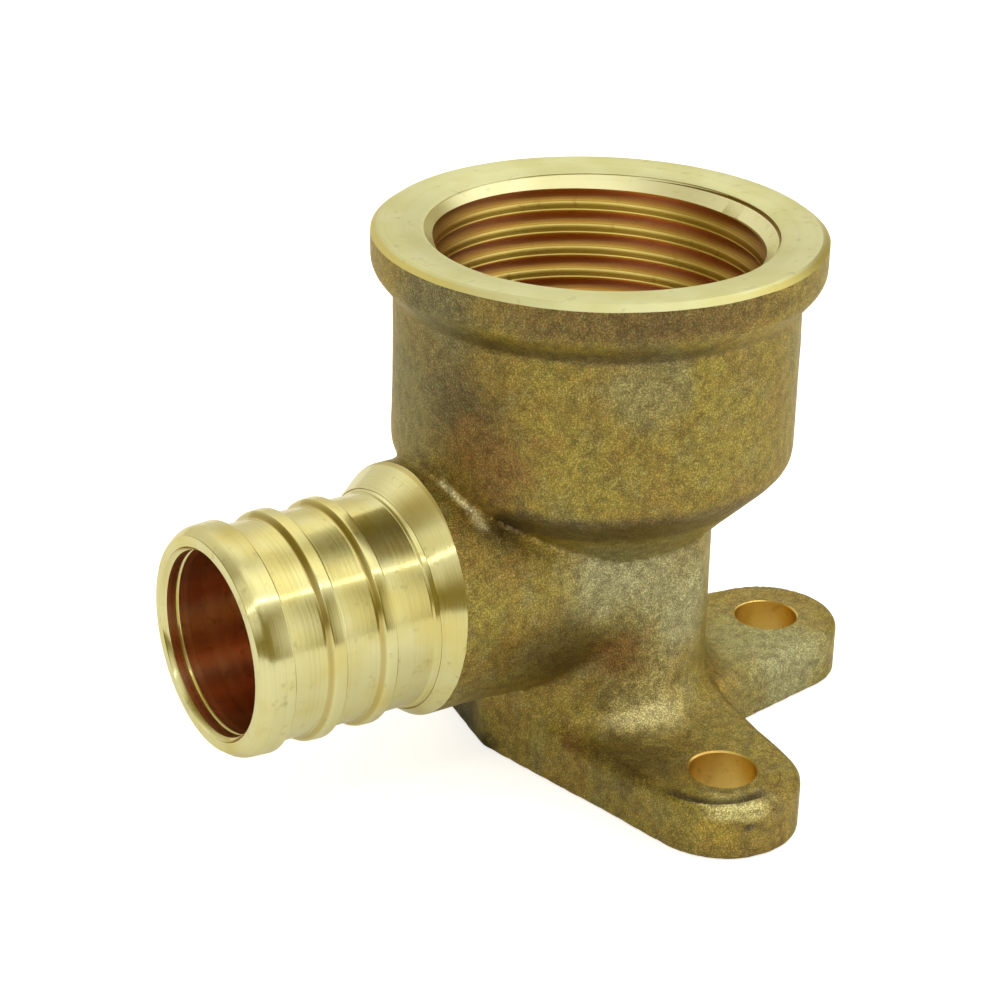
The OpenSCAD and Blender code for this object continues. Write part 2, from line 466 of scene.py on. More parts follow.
def screw_tool(name, material, z0, z1, n=128):
    """The void of a right-hand pipe thread. Its grooves fade out at the bottom and stop short of the
    lead-in, and each crest has a small burr along its lower edge."""
    p = THREAD_PITCH
    depth = THREAD_DEEP_R - THREAD_R
    half_angle = math.radians(27.5)
    land, burr, nose = CREST_HALF, 0.05, 0.08
    root = land + nose + depth * math.tan(half_angle)
    # Half a turn's profile above a crest and half a turn's below the next one, as (height, depth)
    upper = [(0, burr), (land - 0.06, burr), (land + 0.09, 0.14), (root - 0.06, depth - 0.08),
             (p / 2, depth)]
    lower = [(land - 0.09, burr), (land - 0.01, 0), (land + nose, 0.09), (root - 0.06, depth - 0.08)]
    shape = upper + [(p - u, d) for u, d in lower[::-1]]
    m = len(shape)
    first = CREST_Z + p * math.floor((z0 - CREST_Z) / p)
    turns = int(math.ceil((z1 - first) / p)) + 1
    rows = turns * m + 1
    verts = []
    for i in range(n):
        a = 2 * math.pi * i / n
        for j in range(rows):
            u, d = shape[j % m]
            z = first + p * (j // m + i / n) + u
            run_in = ramp(z, z0 + 0.5 * p, z0 + 2.0 * p)
            run_out = ramp(-z, -LEAD_Z - 0.05, -LEAD_Z + 0.12)
            r = THREAD_R + d * float(run_in * run_out)
            verts.append((r * math.cos(a), r * math.sin(a), z))
    faces = []
    for i in range(n - 1):
        for j in range(rows - 1):
            faces.append((i * rows + j, (i + 1) * rows + j, (i + 1) * rows + j + 1, i * rows + j + 1))
    # The last column meets the first one a turn higher up
    last = (n - 1) * rows
    for j in range(rows - 1 - m):
        faces.append((last + j, j + m, j + m + 1, last + j + 1))
    low, top = len(verts), len(verts) + 1
    verts += [(0, 0, first + 0.5 * p), (0, 0, first + (turns + 0.5) * p)]
    low_loop = [i * rows for i in range(n)] + list(range(m, 0, -1))
    top_loop = [i * rows + rows - 1 for i in range(n)]
    top_loop += [last + j for j in range(rows - 2, rows - 2 - m, -1)]
    count = len(low_loop)
    faces += [(low, low_loop[(k + 1) % count], low_loop[k]) for k in range(count)]
    count = len(top_loop)
    faces += [(top, top_loop[k], top_loop[(k + 1) % count]) for k in range(count)]
    return mesh_object(name, verts, faces, material)


# Materials

class Nodes:
    """A new material and its nodes. Places are in millimetres, in the object's own frame."""

    def __init__(self, name):
        self.mat = bpy.data.materials.new(name)
        self.mat.use_nodes = True
        self.tree = self.mat.node_tree
        self.bsdf = self.tree.nodes["Principled BSDF"]
        coords = self.tree.nodes.new("ShaderNodeTexCoord")
        scale = self.tree.nodes.new("ShaderNodeVectorMath")
        scale.operation = "SCALE"
        scale.inputs["Scale"].default_value = 1 / MM
        self.link(coords.outputs["Object"], scale.inputs[0])
        self.pos = self.place = scale.outputs[0]

    def link(self, a, b):
        self.tree.links.new(a, b)

    def put(self, socket, value):
        """Sets a node's input to a number, a colour or another node's output."""
        if isinstance(value, bpy.types.NodeSocket):
            self.link(value, socket)
        elif isinstance(value, (tuple, list)) and len(value) == 3 and socket.type == "RGBA":
            socket.default_value = (*value, 1)
        else:
            socket.default_value = value

    def math(self, op, a, b=0.0):
        n = self.tree.nodes.new("ShaderNodeMath")
        n.operation = op
        self.put(n.inputs[0], a)
        self.put(n.inputs[1], b)
        return n.outputs[0]

    def noise(self, cell, detail, rough, offset):
        n = self.tree.nodes.new("ShaderNodeTexNoise")
        n.inputs["Scale"].default_value = 1 / cell
        n.inputs["Detail"].default_value = detail
        n.inputs["Roughness"].default_value = rough
        mp = self.tree.nodes.new("ShaderNodeMapping")
        mp.inputs["Location"].default_value = offset
        self.link(self.pos, mp.inputs["Vector"])
        self.link(mp.outputs[0], n.inputs["Vector"])
        return n.outputs["Fac"]

    def spread(self, fac, lo, hi, a=0.0, b=1.0):
        """a where fac is lo and b where it is hi, with a smooth change between them."""
        n = self.tree.nodes.new("ShaderNodeMapRange")
        n.interpolation_type = "SMOOTHSTEP"
        self.put(n.inputs["Value"], fac)
        n.inputs["From Min"].default_value = lo
        n.inputs["From Max"].default_value = hi
        n.inputs["To Min"].default_value = a
        n.inputs["To Max"].default_value = b
        return n.outputs["Result"]

    def band(self, value, middle, inner, outer, strength=1.0):
        """The strength where the value is within inner of the middle, falling to 0 at outer."""
        off = self.math("ABSOLUTE", self.math("SUBTRACT", value, middle))
        return self.spread(off, inner, outer, strength, 0)

    def near(self, centre, inner, outer):
        """1 within inner of the centre, falling to 0 at outer."""
        n = self.tree.nodes.new("ShaderNodeVectorMath")
        n.operation = "DISTANCE"
        self.link(self.place, n.inputs[0])
        n.inputs[1].default_value = centre
        return self.spread(n.outputs["Value"], inner, outer, 1.0, 0.0)

    def vector(self, x, y, z):
        n = self.tree.nodes.new("ShaderNodeCombineXYZ")
        for socket, value in zip(n.inputs, (x, y, z)):
            self.put(socket, value)
        return n.outputs[0]

    def cross(self, a, b):
        n = self.tree.nodes.new("ShaderNodeVectorMath")
        n.operation = "CROSS_PRODUCT"
        self.link(a, n.inputs[0])
        self.link(b, n.inputs[1])
        return n.outputs[0]

    def normal(self):
        return self.tree.nodes.new("ShaderNodeNewGeometry").outputs["Normal"]

    def warp(self, cell, reach):
        """Shifts the places that near() measures from by a noise, for ragged outlines."""
        n = self.tree.nodes.new("ShaderNodeTexNoise")
        n.inputs["Scale"].default_value = 1 / cell
        n.inputs["Detail"].default_value = 3
        self.link(self.pos, n.inputs["Vector"])
        off = self.tree.nodes.new("ShaderNodeVectorMath")
        off.operation = "MULTIPLY_ADD"
        self.link(n.outputs["Color"], off.inputs[0])
        off.inputs[1].default_value = (2 * reach,) * 3
        off.inputs[2].default_value = (-reach,) * 3
        add = self.tree.nodes.new("ShaderNodeVectorMath")
        self.link(off.outputs[0], add.inputs[0])
        self.link(self.pos, add.inputs[1])
        self.place = add.outputs[0]

    def mix(self, fac, a, b):
        n = self.tree.nodes.new("ShaderNodeMix")
        n.data_type = "RGBA"
        n.clamp_factor = True
        self.put(n.inputs["Factor"], fac)
        self.put(n.inputs[6], a)
        self.put(n.inputs[7], b)
        return n.outputs[2]

    def shade(self, col, factor):
        """The colour made lighter or darker by a factor."""
        n = self.tree.nodes.new("ShaderNodeVectorMath")
        n.operation = "SCALE"
        self.put(n.inputs[0], col)
        self.put(n.inputs["Scale"], factor)
        return n.outputs[0]

    def bump(self, height, distance, strength, normal=None):
        n = self.tree.nodes.new("ShaderNodeBump")
        n.inputs["Strength"].default_value = strength
        n.inputs["Distance"].default_value = distance * MM
        self.put(n.inputs["Height"], height)
        if normal is not None:
            self.link(normal, n.inputs["Normal"])
        return n.outputs[0]

    def axes(self):
        n = self.tree.nodes.new("ShaderNodeSeparateXYZ")
        self.link(self.pos, n.inputs[0])
        return n.outputs


# Colours of the cast brass, of its stains and of its painted shade, shadow and highlights
OLIVE = (0.35, 0.285, 0.06)
OCHRE = (0.33, 0.24, 0.055)
SAND = (0.31, 0.28, 0.12)
RUST = (0.30, 0.18, 0.04)
RED_BROWN = (0.27, 0.145, 0.05)
RIM_BROWN = (0.17, 0.105, 0.04)
SPOT_BROWN = (0.17, 0.10, 0.04)
SEAT_SHADE_AND_DIRT = (0.045, 0.03, 0.015)
DARK_STAIN_AND_SHADE = (0.11, 0.085, 0.05)
GREY = (0.46, 0.46, 0.27)
GREEN = (0.35, 0.36, 0.18)
DULL = (0.17, 0.165, 0.095)
CREASE_HIGHLIGHT = (1.0, 0.94, 0.60)
EDGE_HIGHLIGHT = (0.80, 0.74, 0.34)
FLARE_HIGHLIGHT = (0.62, 0.56, 0.27)
YELLOW = (0.46, 0.35, 0.06)
PAINTED_SHADOW = (0.012, 0.011, 0.010)
RED_SPECK = (0.38, 0.23, 0.11)
GREEN_SPECK = (0.30, 0.34, 0.13)
CAST_SHINE = (0.80, 0.72, 0.45)

# Colours of the turned brass, of its tarnish and of its painted highlights, shade and reflections
ROOT_RED = (0.95, 0.50, 0.28)
CREST_EDGE_HIGHLIGHT = (1.0, 0.84, 0.33)
STEP_SHADE = (0.40, 0.28, 0.08)
EDGE_TARNISH = (0.46, 0.33, 0.06)
SPOT_TARNISH_AND_REFLECTION = (0.52, 0.42, 0.10)

# Where the stains and the spots of painted shade, shadow and highlight are, in millimetres, with their
# radius, colour and strength
STAINS_AND_PAINTED_LIGHT = [
    ((-15, 3, 30), 8.0, DULL, 0.7),
    ((-15.5, -3.0, 38.0), 5.5, DULL, 0.8),
    ((-5.3, -14.0, 33.8), 4.0, GREEN, 0.5),
    ((12.3, -8.6, 33.0), 6.5, GREEN, 0.6),
    ((13.5, -9.3, 38.0), 4.0, GREEN, 0.5),
    ((-14.4, -3.9, 31), 4.6, DARK_STAIN_AND_SHADE, 0.75),
    ((-13.3, -6.6, 27), 4.5, RED_BROWN, 0.8),
    ((-6.5, -15.3, 38), 3.0, DARK_STAIN_AND_SHADE, 0.5),
    ((1.8, -16.5, 40), 5.0, YELLOW, 0.5),
    # Painted shade in the crease where the neck meets the shoulder
    ((-11.3, -7.3, 22.8), 2.4, DARK_STAIN_AND_SHADE, 0.9),
    ((-8.3, -9.2, 22.7), 2.4, DARK_STAIN_AND_SHADE, 0.8),
    ((-3.1, -9.0, 10.5), 3.2, RED_BROWN, 0.8),
    ((-8.4, -9.0, 12), 5.0, DARK_STAIN_AND_SHADE, 0.6),
    ((3.0, -9.1, 13.5), 6.0, GREY, 0.8),
    ((-3.5, -9.3, 17.5), 5.5, GREY, 0.85),
    # Painted shade on the front ear's top beside the trunk
    ((-4.5, -13.3, 4.4), 4.5, DARK_STAIN_AND_SHADE, 0.6),
    ((-7.9, -8.8, 4.2), 1.6, RED_BROWN, 0.9),
    # Painted highlight on the fillet at the foot of the trunk
    ((-0.8, -9.9, 6), 4.2, FLARE_HIGHLIGHT, 0.9),
    ((14.5, -3.5, 4.4), 7.0, GREEN, 0.7),
    ((16, -6, 2), 5.0, GREY, 0.6),
    ((-3.8, -22.5, 2.6), 1.8, YELLOW, 0.8),
    ((-1.5, -23.5, 2.6), 0.9, DARK_STAIN_AND_SHADE, 0.9),
    # Painted shadow on the side of the ear hidden under the neck
    ((-9.3, 4, 0.5), 4.5, PAINTED_SHADOW, 1.0),
    ((-8.5, 0.0, 0.8), 2.2, PAINTED_SHADOW, 0.8),
    ((4.0, 16.0, 20.0), 7.0, RED_BROWN, 0.5),
    ((14.0, 5.0, 30.0), 6.0, DARK_STAIN_AND_SHADE, 0.5),
    ((9.0, 3.0, 10.0), 5.0, GREY, 0.6),
    ((0.0, 20.0, 4.3), 4.0, YELLOW, 0.5)]

# The painted highlight along the line where the neck's side meets the socket: its ends and the places along
# it
CREASE_TOP = Vector((-14.9, -2.7, 24.6))
CREASE_END = Vector((-13.6, -6.2, 22.3))
CREASE_STEPS = 10


def scaled(colour, factor):
    return tuple(factor * c for c in colour)


def screw_seat(m):
    """Painted shade, with some dirt, in the crescent round the screw seat, on its side away from the trunk.
    """
    ring = m.math("SUBTRACT", m.near(SEAT, SEAT_R, SEAT_R + 0.12), m.near(SEAT, SEAT_R - 1.4, SEAT_R - 0.6))
    return m.math("MULTIPLY", ring, m.near((-3.2, -21.6, 4.2), 3.0, 4.8))


def painted_crease_highlight(m):
    """The painted highlight along the crease under the neck, as the greatest of a row of spots that widen on
    the way down.
    """
    crease = 0.0
    for k in range(CREASE_STEPS + 1):
        place = CREASE_TOP.lerp(CREASE_END, k / CREASE_STEPS)
        crease = m.math("MAXIMUM", crease, m.near(place, 0.0, 0.45 + 0.04 * k))
    return crease


def cast_brass():
    """Blasted cast brass with stains, painted shade and shadow in its corners, creases and hidden faces,
    painted highlights on an ear's edge, a crease and a fillet, and a fine grain.
    """
    m = Nodes("blasted_brass")
    z = m.axes()[2]
    big = m.noise(6.5, 2, 0.5, offset=(3, 1, 4))
    mid = m.noise(2.4, 3, 0.6, offset=(5, 2, 1))
    small = m.noise(0.8, 3, 0.6, offset=(1, 7, 3))
    grain = m.noise(0.115, 1, 0.7, offset=(3, 1, 9))
    fine = m.noise(0.10, 1, 0.5, offset=(8, 4, 2))
    speck = m.noise(0.26, 2, 0.6, offset=(6, 6, 1))
    col = m.mix(m.spread(big, 0.38, 0.62), OLIVE, OCHRE)
    col = m.mix(m.spread(mid, 0.50, 0.68, 0, 0.5), col, SAND)
    col = m.mix(m.spread(mid, 0.48, 0.32, 0, 0.45), col, RUST)
    # The seat's painted shade and the crease's painted highlight have clean outlines, so they are measured
    # before the places are warped
    ring = screw_seat(m)
    crease = painted_crease_highlight(m)
    m.warp(2.0, 2.2)
    # Stains, and spots of painted shade, shadow and highlight
    for place, radius, tint, strength in STAINS_AND_PAINTED_LIGHT:
        spot = m.near(place, 0.25 * radius, 1.15 * radius)
        col = m.mix(m.math("MULTIPLY", spot, strength), col, tint)
    # Dirt on the rim's side, and painted shade under the shoulder and in the corner under the rim
    rim = m.math("MULTIPLY", m.spread(z, 37.2, 38.4, 0, 0.75), m.near((-6, -15, 39), 6, 15))
    col = m.mix(rim, col, RIM_BROWN)
    under = m.math("MULTIPLY", m.band(z, 22.6, 0.9, 1.9, 0.65), m.near((-3, -11, 23), 7, 12))
    col = m.mix(under, col, DARK_STAIN_AND_SHADE)
    fillet = m.math("MULTIPLY", m.band(z, 36.2, 0.3, 0.9, 0.6), m.near((-9, -12, 36.2), 6, 13))
    col = m.mix(fillet, col, DARK_STAIN_AND_SHADE)
    # Painted highlight on the front ear's upper edge, painted shade with some dirt in the seat's crescent,
    # and a painted highlight along the crease
    edge_highlight = m.math("MULTIPLY", m.near((-2.3, -23.4, 3.9), 1.4, 3.6), m.spread(z, 2.9, 3.8, 0, 0.85))
    col = m.mix(edge_highlight, col, EDGE_HIGHLIGHT)
    col = m.mix(m.math("MULTIPLY", ring, 0.9), col, SEAT_SHADE_AND_DIRT)
    col = m.mix(m.math("MULTIPLY", crease, 0.85), col, CREASE_HIGHLIGHT)
    # Small spots, specks of two tints and the grain
    col = m.mix(m.spread(small, 0.54, 0.74, 0, 0.35), col, SPOT_BROWN)
    col = m.shade(col, m.spread(small, 0.62, 0.38, 0.83, 1.18))
    col = m.mix(m.spread(speck, 0.54, 0.70, 0, 0.35), col, RED_SPECK)
    col = m.mix(m.spread(speck, 0.46, 0.30, 0, 0.45), col, GREEN_SPECK)
    col = m.shade(col, m.spread(grain, 0.40, 0.72, 0.74, 1.72))
    m.put(m.bsdf.inputs["Base Color"], col)
    m.bsdf.inputs["Metallic"].default_value = 0.8
    m.bsdf.inputs["Specular Tint"].default_value = (*CAST_SHINE, 1)
    m.bsdf.inputs["Coat Weight"].default_value = 0.3
    m.bsdf.inputs["Coat Roughness"].default_value = 0.4
    m.put(m.bsdf.inputs["Roughness"], m.spread(mid, 0.3, 0.7, 0.32, 0.44))
    dents = m.bump(small, 0.09, 0.6)
    grains = m.bump(grain, 0.06, 0.9, dents)
    m.put(m.bsdf.inputs["Normal"], m.bump(fine, 0.025, 0.8, grains))
    return m.mat


def thread_colour(m, col, crest, shadow, r, s, z):
    """The thread's red roots, its bright crests, painted highlights along their edges, painted shade on its
    sides and painted shade on the step above it.
    """
    col = m.mix(m.spread(r, THREAD_DEEP_R - 0.6, THREAD_DEEP_R - 0.1), col, ROOT_RED)
    col = m.mix(m.spread(r, THREAD_R + 0.1, THREAD_R + 0.35), crest, col)
    # Painted highlights along the upper and lower edges of each crest
    for place in (CREST_HALF, THREAD_PITCH - CREST_HALF):
        col = m.mix(m.band(s, place, 0.04, 0.10, 0.8), col, CREST_EDGE_HIGHLIGHT)
    # Painted shade on the thread's sides, lighter towards the back of the mouth
    col = m.mix(m.near((7.5, 9.5, 32), 6, 18), shadow, col)
    # Painted shade on the step above the lead-in
    return m.mix(m.spread(z, 39.4, 39.7), col, STEP_SHADE)


def turned_brass(name, base, deep, along, rough, ring=0.16, depth=0.004, lined=0.1, edges=(),
                 tarnish_and_reflections=(), crest=None, streaks=None, chamfer=None):
    """Bright turned brass between two colours, base and deep.
    along is "barb" or "socket": the axis that its tool marks run round.
    rough holds the least and the greatest roughness.
    ring is the tool marks' size along the axis, depth their depth, and lined how dark they are.
    edges are places along the barb that are tarnished, each with half its width.
    The list of spots holds places and radii of tarnished spots and of painted reflections.
    crest is the colour on a thread's crests, for the thread alone.
    streaks is the colour of bands along the waterway, and chamfer the colour of the rim's chamfer."""
    m = Nodes(name)
    x, y, z = m.axes()
    if along == "barb":
        s = x
        z_off = m.math("SUBTRACT", z, AXIS_Z)
        r = m.math("SQRT", m.math("ADD", m.math("POWER", y, 2.0), m.math("POWER", z_off, 2.0)))
        spoke = m.vector(0.0, y, z_off)
        axis = m.vector(1.0, 0.0, 0.0)
    else:
        s = z
        r = m.math("SQRT", m.math("ADD", m.math("POWER", x, 2.0), m.math("POWER", y, 2.0)))
        spoke = m.vector(x, y, 0.0)
        axis = m.vector(0.0, 0.0, 1.0)
    if crest is not None:
        # How far up each turn of the thread a point is, so that its tool marks follow the helix
        turns = m.math("DIVIDE", m.math("SUBTRACT", z, CREST_Z), THREAD_PITCH)
        turns = m.math("SUBTRACT", turns, m.math("DIVIDE", m.math("ARCTAN2", y, x), 2 * math.pi))
        s = m.math("MULTIPLY", m.math("FRACT", turns), THREAD_PITCH)
    lines = m.tree.nodes.new("ShaderNodeTexNoise")
    lines.inputs["Scale"].default_value = 1 / ring
    lines.inputs["Detail"].default_value = 3
    m.link(m.vector(s, r, 0.0), lines.inputs["Vector"])
    marks = lines.outputs["Fac"]
    big = m.noise(4.0, 2, 0.5, offset=(2, 2, 7))
    spots = m.noise(0.9, 3, 0.6, offset=(4, 9, 2))
    col = m.mix(m.spread(big, 0.35, 0.7), base, deep)
    if crest is not None:
        col = thread_colour(m, col, crest, scaled(deep, 0.4), r, s, z)
    if streaks is not None:
        # Two bands of light under the waterway's middle: height from the axis, half width and strength
        for height, half, strength in ((-1.4, 2.0, 0.8), (-4.6, 1.0, 0.7)):
            col = m.mix(m.band(z_off, height, 0.1 * half, half, strength), col, streaks)
    if chamfer is not None:
        # The chamfer is deeper in colour all round, except at the front left
        away = m.math("SUBTRACT", 1.0, m.near((-8.5, -14.0, 40.0), 5, 14))
        col = m.mix(m.math("MULTIPLY", m.spread(r, RIM_R - 0.5, RIM_R - 0.3), away), col, chamfer)
    for place, half in edges:
        col = m.mix(m.band(s, -place, 0.3 * half, half, 0.55), col, EDGE_TARNISH)
    col = m.mix(m.spread(marks, 0.52, 0.75, 0, lined), col, scaled(deep, 0.3))
    # Spots of tarnish, and spots of painted reflection
    for place, radius in tarnish_and_reflections:
        col = m.mix(m.math("MULTIPLY", m.near(place, 0.0, radius), 0.7), col, SPOT_TARNISH_AND_REFLECTION)
    col = m.mix(m.spread(spots, 0.58, 0.78, 0, 0.5), col, scaled(deep, 0.6))
    m.put(m.bsdf.inputs["Base Color"], col)
    m.bsdf.inputs["Metallic"].default_value = 1.0
    m.put(m.bsdf.inputs["Roughness"], m.spread(marks, 0.3, 0.7, rough[0], rough[1]))
    # The marks run round the axis, so highlights are drawn out across them
    m.bsdf.inputs["Anisotropic"].default_value = 0.7
    m.link(m.cross(m.cross(axis, spoke), m.normal()), m.bsdf.inputs["Tangent"])
    grooves = m.bump(marks, depth, 1.0)
    m.put(m.bsdf.inputs["Normal"], m.bump(spots, 0.003, 0.5, grooves))
    return m.mat


# Tarnish and painted reflections on the barb: spots as place and radius, of which the first two are painted
# dark reflections, and lines as distance along the barb and half width
BARB_SPOTS = [((-17.4, -3.0, 23.3), 3.0), ((-30.7, -0.6, 23.4), 2.8),
              ((-31.4, -3.5, 7.5), 2.2), ((-29.0, 5.0, 21.5), 2.4)]
BARB_LINES = [(21.8, 0.14), (22.9, 0.22), (25.88, 0.14), (27.1, 0.22), (29.95, 0.16), (16.2, 0.25)]

CAST = cast_brass()
BARB = turned_brass("turned_brass", (0.82, 0.80, 0.44), (0.77, 0.705, 0.28), "barb", (0.17, 0.24),
                    edges=BARB_LINES, tarnish_and_reflections=BARB_SPOTS)
FACE = turned_brass("faced_brass", (0.80, 0.82, 0.48), (0.74, 0.74, 0.37), "socket", (0.36, 0.44),
                    ring=0.12, depth=0.007, chamfer=(0.72, 0.64, 0.22))
# Painted light: the faced brass made lighter for the lead-in, where it catches more light
LIT_LEAD = turned_brass("lit_lead_brass", (0.93, 0.93, 0.58), (0.88, 0.86, 0.48), "socket", (0.30, 0.38),
                    ring=0.12, depth=0.007)
BORE = turned_brass("bore_brass", (0.92, 0.60, 0.16), (0.84, 0.48, 0.12), "socket", (0.38, 0.48),
                    ring=0.14, depth=0.012, lined=0.5, crest=(1.0, 0.80, 0.18))
WATER = turned_brass("waterway_brass", (0.98, 0.53, 0.25), (0.76, 0.36, 0.14), "barb", (0.26, 0.32),
                     ring=0.6, depth=0.0005, lined=0, streaks=(1.0, 0.74, 0.42))
HOLE = turned_brass("drilled_brass", (0.94, 0.75, 0.24), (0.76, 0.50, 0.14), "socket", (0.28, 0.38),
                    ring=0.3, depth=0.008)


# The elbow

# The raw casting, in slabs of the grid to save memory
size = np.ceil((GRID_HIGH - GRID_LOW) / CELL).astype(int)
grid_x, grid_y, grid_z = [GRID_LOW[k] + CELL * np.arange(size[k]) for k in range(3)]
distance = np.empty(tuple(size), np.float32)
slab = 16
for i in range(0, size[0], slab):
    places = np.meshgrid(grid_x[i:i + slab], grid_y, grid_z, indexing="ij")
    distance[i:i + slab] = casting(np.stack(places, axis=-1))
verts, quads = surface_nets(distance, GRID_LOW, CELL)
# A row of points is laid along the corner where the side ears' edges meet
corner = ((np.abs(verts[:, 1]) < CELL / 2) & (np.abs(verts[:, 0] - CORNER_X) < CELL)
          & (verts[:, 2] < 5.4))
verts = onto_surface(verts, roughened)
verts[corner, 1] = 0
verts[corner, 0] += CORNER_X - verts[corner, 0].mean()
elbow = mesh_object("elbow", verts, quads, CAST)
fix_normals(elbow)
check_closed(elbow)

# The rim's face and its chamfer
face_tool = turned("face_tool", [
    (0, BODY_H), (RIM_R - 0.55, BODY_H), (RIM_R + 1.1, 39.3), (19, 39.3), (19, TOOL_TOP),
    (0, TOOL_TOP)], FACE)
combine(elbow, face_tool, "DIFFERENCE")

# The bore below the thread and the waterway down the trunk
bore_r = THREAD_R - 0.02
mouth_tool = turned("mouth_tool", rounded([
    (0, FLOOR_Z - 1.2, 0), (0.5, FLOOR_Z - 1.2, 0), (TRUNK_BORE_R, FLOOR_Z, 0),
    (TRUNK_BORE_R, THREAD_FLOOR - 4.6, 0), (bore_r, THREAD_FLOOR, 0), (bore_r, TOOL_TOP, 0),
    (0, TOOL_TOP, 0)]), BORE)
combine(elbow, mouth_tool, "DIFFERENCE")

# The mouth's bevel
bevel_tool = turned("bevel_tool", [
    (0, 40.13), (13.0, 40.13), (13.6, BODY_H), (14.8, 41.24), (14.8, TOOL_TOP), (0, TOOL_TOP)], FACE)
combine(elbow, bevel_tool, "DIFFERENCE")

# The lead-in and the step above it, a little off the socket's axis, so that the step shows at one side only
lead_tool = turned("lead_tool", [
    (0, LEAD_Z - 0.8), (THREAD_R - 0.8, LEAD_Z - 0.8), (12.9, LEAD_Z + 12.9 - THREAD_R), (12.97, 40.4),
    (12.97, TOOL_TOP), (0, TOOL_TOP)], LIT_LEAD)
lead_tool.data.transform(Matrix.Translation((0.15 * MM, -0.04 * MM, 0)))
combine(elbow, lead_tool, "DIFFERENCE")
step_tool = turned("step_tool", [
    (0, 39.92), (12.77, 39.92), (12.79, 40.10), (12.74, 40.16), (0, 40.16)], BORE)
step_tool.data.transform(Matrix.Translation((0.29 * MM, -0.18 * MM, 0)))
combine(elbow, step_tool, "DIFFERENCE")
thread_tool = screw_tool("thread_tool", BORE, THREAD_FLOOR + 0.3, LEAD_Z + 0.2)
combine(elbow, thread_tool, "DIFFERENCE")

# The collar: the tool's cone runs out on the raw neck, and nothing of the casting is left beyond it
collar_tool = turned("collar_tool", rounded([
    (0, 18.3, 0), (7.6, 18.3, 0), (8.12, 18.38, 0), (8.75, 17.55, 1.2), (9.75, 16.1, 0), (10.6, 15.0, 0),
    (12.0, 15.0, 0), (12.0, 20, 0), (0, 20, 0)]), BARB, FINE_SIDES, along_barb=True)
combine(elbow, collar_tool, "DIFFERENCE")

# The barb, with its groove at the collar, its three beads and its nose
barb = turned("barb_blank", rounded([
    (0, 13.5, 0), (8.6, 13.5, 0), (8.6, 17.3, 0), (8.12, 18.38, 0), (8.10, 18.47, 0),
    (ROOT_R, 18.62, 0.1), (ROOT_R, 21.72, 0.12),
    (8.43, 21.85, 0.12), (8.39, 22.65, 0.16), (ROOT_R, 23.0, 0.25), (ROOT_R, 25.80, 0.12),
    (8.48, 25.94, 0.12), (8.43, 26.86, 0.16), (ROOT_R, 27.24, 0.25), (ROOT_R, 29.88, 0.12),
    (8.49, 30.03, 0.12), (8.40, 31.75, 1.2), (7.84, BARB_END, 0.12), (0, BARB_END, 0)], 8.0),
    BARB, FINE_SIDES, along_barb=True)
combine(elbow, barb, "UNION")

# The barb's waterway and the rounded edge of its mouth
water_tool = turned("water_tool", [
    (0, 0.4), (BARB_BORE_R, 0.4), (BARB_BORE_R, BARB_END + 0.8), (0, BARB_END + 0.8)],
    WATER, FINE_SIDES, along_barb=True)
combine(elbow, water_tool, "DIFFERENCE")
edge_tool = turned("edge_tool", [
    (0, BARB_END - 0.8), (6.0, BARB_END - 0.8), (BARB_BORE_R + 0.02, BARB_END - 0.34),
    (BARB_BORE_R + 0.27, BARB_END - 0.05), (BARB_BORE_R + 0.55, BARB_END + 0.6), (0, BARB_END + 0.6)],
    BARB, FINE_SIDES, along_barb=True)
combine(elbow, edge_tool, "DIFFERENCE")

# A fine line that the bevel's tool leaves inside the barb's mouth
line_at = BARB_END - 1.2
line_tool = turned("line_tool", [
    (0, line_at - 0.2), (BARB_BORE_R - 0.1, line_at - 0.2), (BARB_BORE_R + 0.12, line_at),
    (BARB_BORE_R - 0.1, line_at + 0.2), (0, line_at + 0.2)], BARB, FINE_SIDES, along_barb=True)
combine(elbow, line_tool, "DIFFERENCE")

# A screw head's seat sunk a little askew in the ear at the front
seat_tool = turned("seat_tool", rounded([(0, 0, 0), (SEAT_R, 0, 0.12), (SEAT_R + 0.2, 3, 0), (0, 3, 0)]),
                   CAST, HOLE_SIDES)
seat_tool.data.transform(Matrix.Translation((SEAT[0] * MM, SEAT[1] * MM, (SEAT[2] - 0.06) * MM))
                         @ Matrix.Rotation(math.radians(3.2), 4, Vector((0.75, -0.66, 0))))
combine(elbow, seat_tool, "DIFFERENCE")

# The screw holes
for hole_x, hole_y in ((EAR_REACH, 0), (0, EAR_REACH), (0, -EAR_REACH)):
    hole_tool = turned("hole_tool", [
        (0, -1), (HOLE_R + 0.9, -1), (HOLE_R + 0.1, 0.1), (HOLE_R, 0.2), (HOLE_R, PLATE_T - 0.1),
        (HOLE_R + 0.3, PLATE_T + 0.2), (HOLE_R + 0.3, PLATE_T + 2), (0, PLATE_T + 2)], HOLE, HOLE_SIDES)
    hole_tool.data.transform(Matrix.Translation((hole_x * MM, hole_y * MM, 0)))
    combine(elbow, hole_tool, "DIFFERENCE")

check_closed(elbow)
mesh = elbow.data
mesh.name = "elbow"
mesh.polygons.foreach_set("use_smooth", [True] * len(mesh.polygons))
mesh.set_sharp_from_angle(angle=math.radians(32))
print("elbow:", len(mesh.vertices), "points,", len(mesh.polygons), "faces,",
      sum(len(p.vertices) - 2 for p in mesh.polygons), "triangles,", [m.name for m in mesh.materials])

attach(elbow, "root")
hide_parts("elbow_body")

# Floor, lamps and camera

# The floor is lifted to white where the camera sees it, and a little where the brass reflects it
CAMERA_LIFT = 0.72
GLOSSY_LIFT = 0.14
FLOOR_REACH = 1500
GROUND_Z = -0.02

